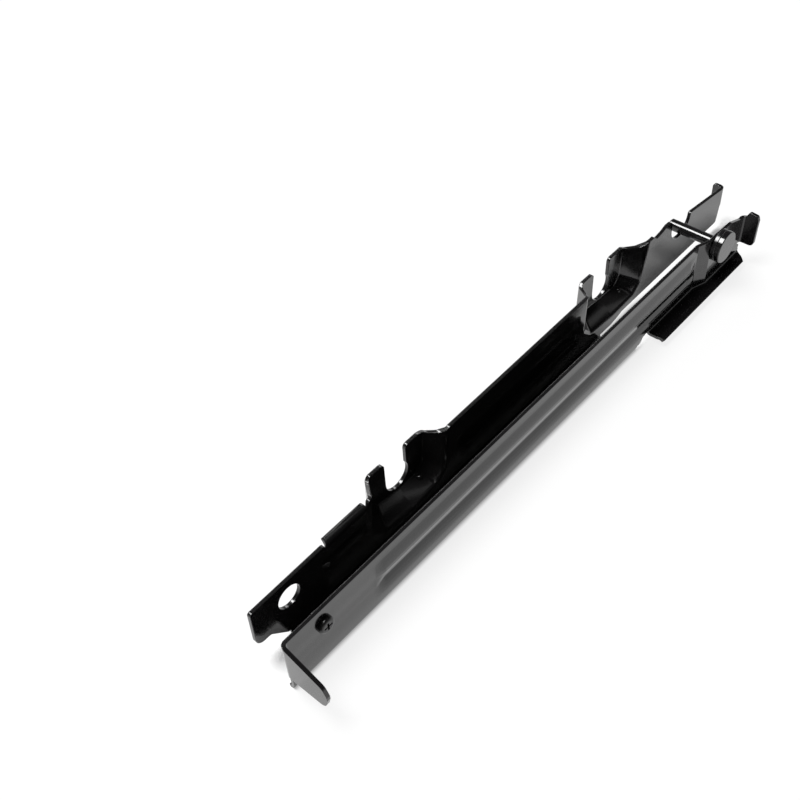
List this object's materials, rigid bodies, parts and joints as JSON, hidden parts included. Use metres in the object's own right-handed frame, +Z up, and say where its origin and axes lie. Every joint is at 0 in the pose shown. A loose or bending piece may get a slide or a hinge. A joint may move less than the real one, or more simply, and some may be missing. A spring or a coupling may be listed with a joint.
{
  "type": "bumper bracket",
  "caption": "Folded steel channel bracket with slotted humps on one wall, bent tabs at its ends, a foot flange and a headed cross pin, for hooking a bumper to its carrier.",
  "frame": {"origin": "on the underside of the web, midway between the walls, below the axis of the mounting hole in the hook wall", "axes": "+X along the channel towards the pinned end, +Y across it towards the hook wall, +Z up out of the channel's open side"},
  "size_m": [0.409, 0.0588, 0.0432],
  "materials": {
    "body_coat": "glossy black electrocoat on pressed steel",
    "pin_coat": "glossy black coat on turned steel",
    "washer_coat": "glossy black coat on steel",
    "screw_coat": "black coated steel screw"
  },
  "bodies": {
    "root": {"channel_body": "body_coat", "cross_pin": "pin_coat", "pin_washer": "washer_coat", "fixing_screw": "screw_coat"}
  },
  "joints": []
}
